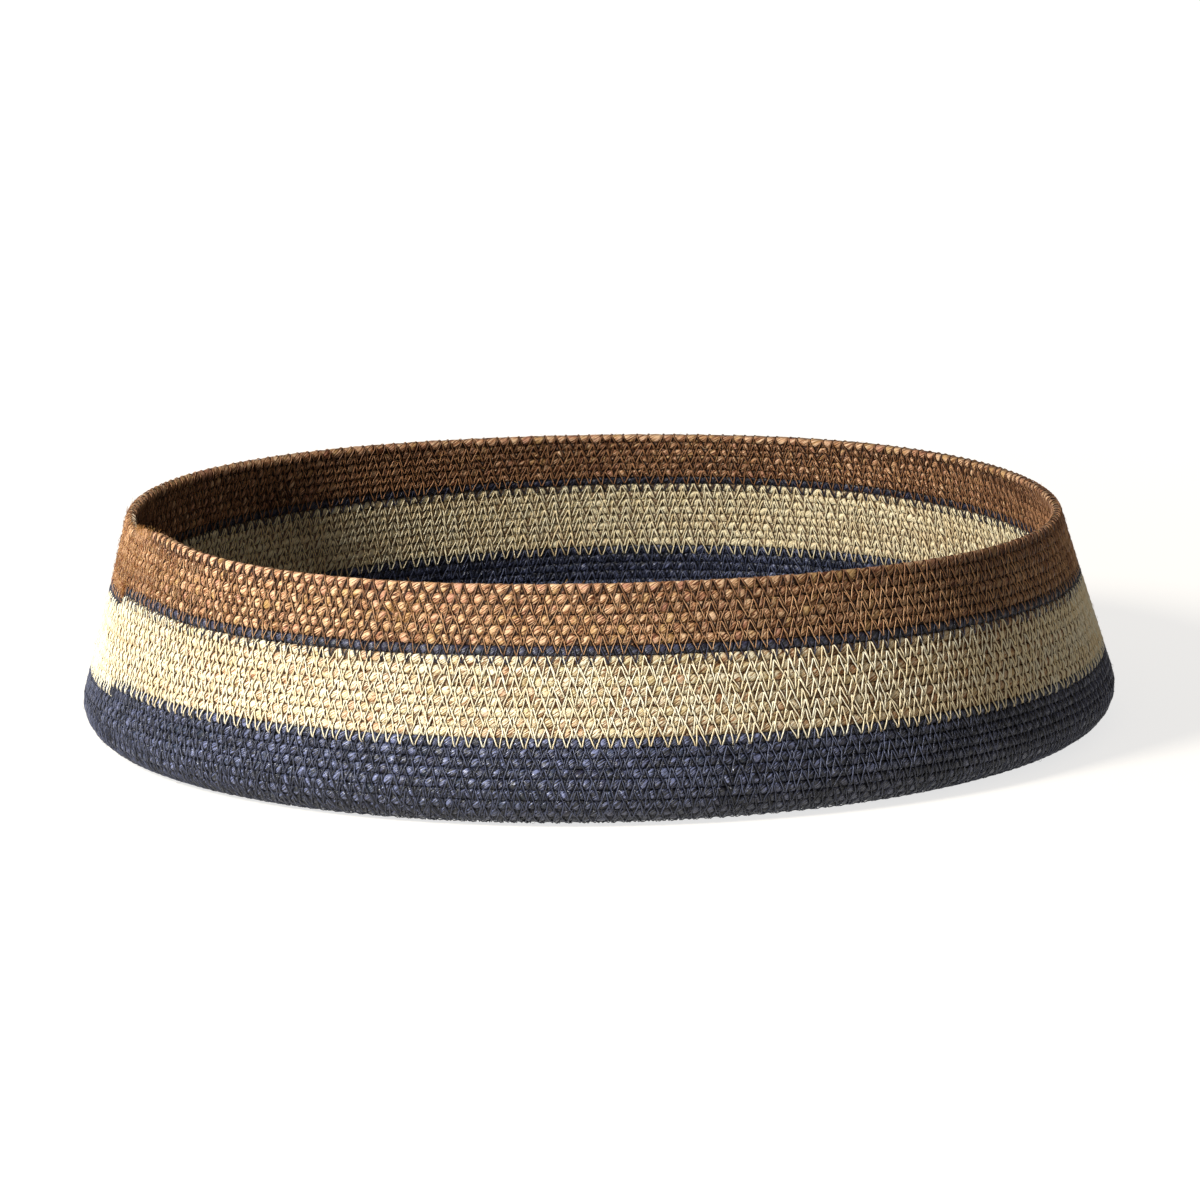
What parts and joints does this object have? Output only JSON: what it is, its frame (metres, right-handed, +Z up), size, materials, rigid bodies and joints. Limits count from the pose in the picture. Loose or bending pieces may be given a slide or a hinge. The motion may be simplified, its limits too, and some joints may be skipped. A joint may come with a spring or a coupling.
{
  "type": "coiled rope basket",
  "caption": "Low, wide round basket of coiled plant-fibre rope with a flat base, a rounded bottom corner and an inward-leaning wall in navy, natural and brown bands.",
  "frame": {"origin": "middle of the flat underside of the base", "axes": "+Z up, out of the open top; -Y towards the side that the picture shows; +X to that view's right"},
  "size_m": [0.4462, 0.4462, 0.0927],
  "materials": {
    "navy_rope": "dyed plant-fibre rope, slight sheen",
    "natural_rope": "undyed plant-fibre rope, slight sheen",
    "stripe_rope": "dyed plant-fibre rope, slight sheen",
    "brown_rope": "dyed plant-fibre rope, slight sheen",
    "natural_thread": "twisted sewing thread",
    "navy_thread": "twisted sewing thread",
    "brown_thread": "twisted sewing thread"
  },
  "bodies": {
    "root": {"base_coil": "navy_rope", "navy_wall_rope": "navy_rope", "natural_wall_rope": "natural_rope", "navy_stripe_rope": "stripe_rope", "brown_rim_rope": "brown_rope", "natural_seam_thread": "natural_thread", "stripe_seam_thread": "navy_thread", "brown_seam_thread": "brown_thread"}
  },
  "joints": []
}
